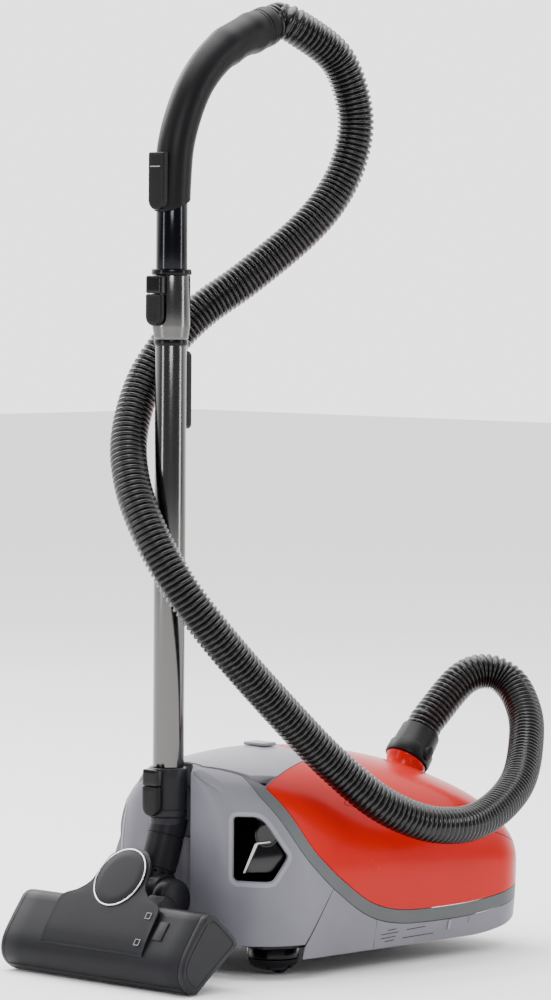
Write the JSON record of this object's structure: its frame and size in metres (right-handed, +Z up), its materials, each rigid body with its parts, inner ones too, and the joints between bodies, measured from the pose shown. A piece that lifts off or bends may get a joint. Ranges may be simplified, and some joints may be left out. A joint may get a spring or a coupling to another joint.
{
  "type": "canister vacuum cleaner",
  "caption": "Canister vacuum cleaner standing with its telescopic wand parked upright, ribbed stretch hose looping from the grip to the hood, turbine floor head hanging at the rear.",
  "frame": {"origin": "on the floor, midway between the front edge of the floor head and the nose of the canister, on the centre plane", "axes": "+Z up, +X towards the canister's nose, +Y to the canister's left"},
  "size_m": [0.6713, 0.3512, 1.0881],
  "materials": {
    "red_gloss": "glossy moulded",
    "grey_shell": "satin moulded",
    "grey_band": "satin moulded",
    "dark_plastic": "fine satin",
    "black_gloss": "glossy",
    "steel": "polished and drawn",
    "dark_chrome": "smoked chrome",
    "clear": "smoked clear",
    "hose": "glossy ribbed",
    "rubber": "matte",
    "filter": "felt",
    "circuit": "solder mask"
  },
  "bodies": {
    "canister": {"base_tray": "dark_plastic", "bonnet": "red_gloss", "carry_handle": "grey_shell", "chassis_skirt": "grey_shell", "circuit_board": "circuit", "collar_guard": "black_gloss", "container_cap_left": "clear", "container_cap_right": "clear", "cyclone_core": "black_gloss", "dust_container": "clear", "handle_tray": "dark_plastic", "hose_end": "hose", "hose_main": "hose", "inner_tube": "steel", "motor": "steel", "motor_filter": "filter", "motor_housing": "dark_plastic", "neck_collar": "dark_plastic", "rear_housing": "grey_shell", "reel_spindle": "steel", "trim_band": "grey_band"},
    "lid": {"hood_lid": "red_gloss"},
    "cuff": {"hose_cuff": "dark_plastic"},
    "cuff_latch_right": {"cuff_button_right": "dark_plastic"},
    "cuff_latch_left": {"cuff_button_left": "dark_plastic"},
    "latch": {"lid_latch": "grey_shell"},
    "pedal_right": {"power_pedal": "grey_shell"},
    "pedal_left": {"rewind_pedal": "grey_shell"},
    "upper_wand": {"outer_tube": "steel", "wand_socket": "steel", "socket_ring": "black_gloss", "socket_seal": "black_gloss", "socket_guard": "black_gloss", "tail_tube": "dark_chrome", "grip_handle": "dark_plastic"},
    "socket_release": {"socket_button": "dark_plastic"},
    "lever": {"telescope_lever": "dark_plastic"},
    "valve": {"air_valve": "dark_plastic"},
    "grip_swivel": {"hose_collar": "dark_plastic"},
    "collar_release": {"collar_button": "dark_plastic"},
    "neck": {"swivel_elbow": "dark_plastic"},
    "floor_head": {"head_housing": "dark_plastic", "head_cap_left": "dark_plastic", "head_cap_right": "dark_plastic", "head_cover": "dark_plastic", "cover_ring": "steel", "cover_badge": "dark_plastic", "brush_axle": "steel", "turbine_shaft": "steel"},
    "brush": {"brush_roller": "rubber"},
    "turbine": {"air_turbine": "dark_plastic"},
    "slider": {"head_slider": "black_gloss"},
    "fan": {"suction_fan": "steel"},
    "reel": {"cord_reel": "dark_plastic"},
    "castor_rear_right": {"castor_fork_rear_right": "dark_plastic"},
    "wheel_rear_right": {"castor_wheel_rear_right": "rubber"},
    "castor_rear_left": {"castor_fork_rear_left": "dark_plastic"},
    "wheel_rear_left": {"castor_wheel_rear_left": "rubber"},
    "castor_front": {"castor_fork_front": "dark_plastic"},
    "wheel_front": {"castor_wheel_front": "rubber"}
  },
  "joints": [
    {"name": "telescope", "type": "slide", "parent": "canister", "child": "upper_wand", "axis": [0, 0, 1], "range_m": [0, 0.33], "deforming": ["hose_main"]},
    {"name": "lid_hinge", "type": "hinge", "parent": "canister", "child": "lid", "pos_m": [-0.0112, 0, 0.246], "axis": [0, -1, 0], "range_deg": [0, 50], "deforming": ["hose_end"]},
    {"name": "latch_press", "type": "slide", "parent": "canister", "child": "latch", "axis": [-1, 0, 0], "range_m": [0, 0.004], "stiffness_N_per_m": 900, "springref_m": -0.002},
    {"name": "power_press", "type": "slide", "parent": "canister", "child": "pedal_right", "axis": [0.4801, 0.6213, -0.6193], "range_m": [0, 0.003], "stiffness_N_per_m": 900, "springref_m": -0.002},
    {"name": "rewind_press", "type": "slide", "parent": "canister", "child": "pedal_left", "axis": [0.4801, -0.6213, -0.6193], "range_m": [0, 0.003], "stiffness_N_per_m": 900, "springref_m": -0.002},
    {"name": "socket_press", "type": "slide", "parent": "upper_wand", "child": "socket_release", "axis": [1, 0, 0], "range_m": [0, 0.002], "stiffness_N_per_m": 900, "springref_m": -0.002},
    {"name": "lever_pull", "type": "slide", "parent": "upper_wand", "child": "lever", "axis": [0, 0, -1], "range_m": [0, 0.006], "stiffness_N_per_m": 900, "springref_m": -0.002},
    {"name": "valve_slide", "type": "slide", "parent": "upper_wand", "child": "valve", "axis": [0, 0, -1], "range_m": [0, 0.01]},
    {"name": "grip_swivel_turn", "type": "hinge", "parent": "upper_wand", "child": "grip_swivel", "pos_m": [-0.0414, 0, 1.0555], "axis": [0.9397, 0, 0.342], "continuous": true},
    {"name": "collar_press", "type": "slide", "parent": "canister", "child": "collar_release", "axis": [1, 0, 0], "range_m": [0, 0.002], "stiffness_N_per_m": 900, "springref_m": -0.002},
    {"name": "neck_swivel", "type": "hinge", "parent": "canister", "child": "neck", "pos_m": [-0.1764, 0, 0.176], "axis": [0, 0, 1], "range_deg": [-20, 20]},
    {"name": "head_tilt", "type": "hinge", "parent": "neck", "child": "floor_head", "pos_m": [-0.20143, 0, 0.09255], "axis": [0, 1, 0], "range_deg": [0, 14]},
    {"name": "brush_spin", "type": "hinge", "parent": "floor_head", "child": "brush", "pos_m": [-0.26575, 0, 0.02847], "axis": [0, 1, 0], "continuous": true},
    {"name": "turbine_spin", "type": "hinge", "parent": "floor_head", "child": "turbine", "pos_m": [-0.24986, 0, 0.05629], "axis": [0, 1, 0], "continuous": true},
    {"name": "head_slide", "type": "slide", "parent": "floor_head", "child": "slider", "axis": [0.5971, 0, 0.8022], "range_m": [0, 0.012]},
    {"name": "cuff_turn", "type": "hinge", "parent": "lid", "child": "cuff", "pos_m": [0.21826, 0, 0.20998], "axis": [0.6293, 0, 0.7771], "continuous": true},
    {"name": "cuff_press_right", "type": "slide", "parent": "cuff", "child": "cuff_latch_right", "axis": [0, 1, 0], "range_m": [0, 0.0015], "stiffness_N_per_m": 900, "springref_m": -0.002},
    {"name": "cuff_press_left", "type": "slide", "parent": "cuff", "child": "cuff_latch_left", "axis": [0, -1, 0], "range_m": [0, 0.0015], "stiffness_N_per_m": 900, "springref_m": -0.002},
    {"name": "fan_spin", "type": "hinge", "parent": "canister", "child": "fan", "pos_m": [0.0016, 0, 0.13], "axis": [1, 0, 0], "continuous": true},
    {"name": "reel_spin", "type": "hinge", "parent": "canister", "child": "reel", "pos_m": [0.1536, 0, 0.06], "axis": [0, 0, 1], "continuous": true},
    {"name": "castor_turn_rear_right", "type": "hinge", "parent": "canister", "child": "castor_rear_right", "pos_m": [-0.0924, -0.084, 0.034], "axis": [0, 0, 1], "continuous": true},
    {"name": "wheel_roll_rear_right", "type": "hinge", "parent": "castor_rear_right", "child": "wheel_rear_right", "pos_m": [-0.0834, -0.084, 0.012], "axis": [0, 1, 0], "continuous": true},
    {"name": "castor_turn_rear_left", "type": "hinge", "parent": "canister", "child": "castor_rear_left", "pos_m": [-0.0924, 0.084, 0.034], "axis": [0, 0, 1], "continuous": true},
    {"name": "wheel_roll_rear_left", "type": "hinge", "parent": "castor_rear_left", "child": "wheel_rear_left", "pos_m": [-0.0834, 0.084, 0.012], "axis": [0, 1, 0], "continuous": true},
    {"name": "castor_turn_front", "type": "hinge", "parent": "canister", "child": "castor_front", "pos_m": [0.1686, 0, 0.034], "axis": [0, 0, 1], "continuous": true},
    {"name": "wheel_roll_front", "type": "hinge", "parent": "castor_front", "child": "wheel_front", "pos_m": [0.1776, 0, 0.012], "axis": [0, 1, 0], "continuous": true}
  ],
  "couplings": [
    {"joint": "turbine_spin", "follows": "brush_spin", "ratio": 3}
  ]
}
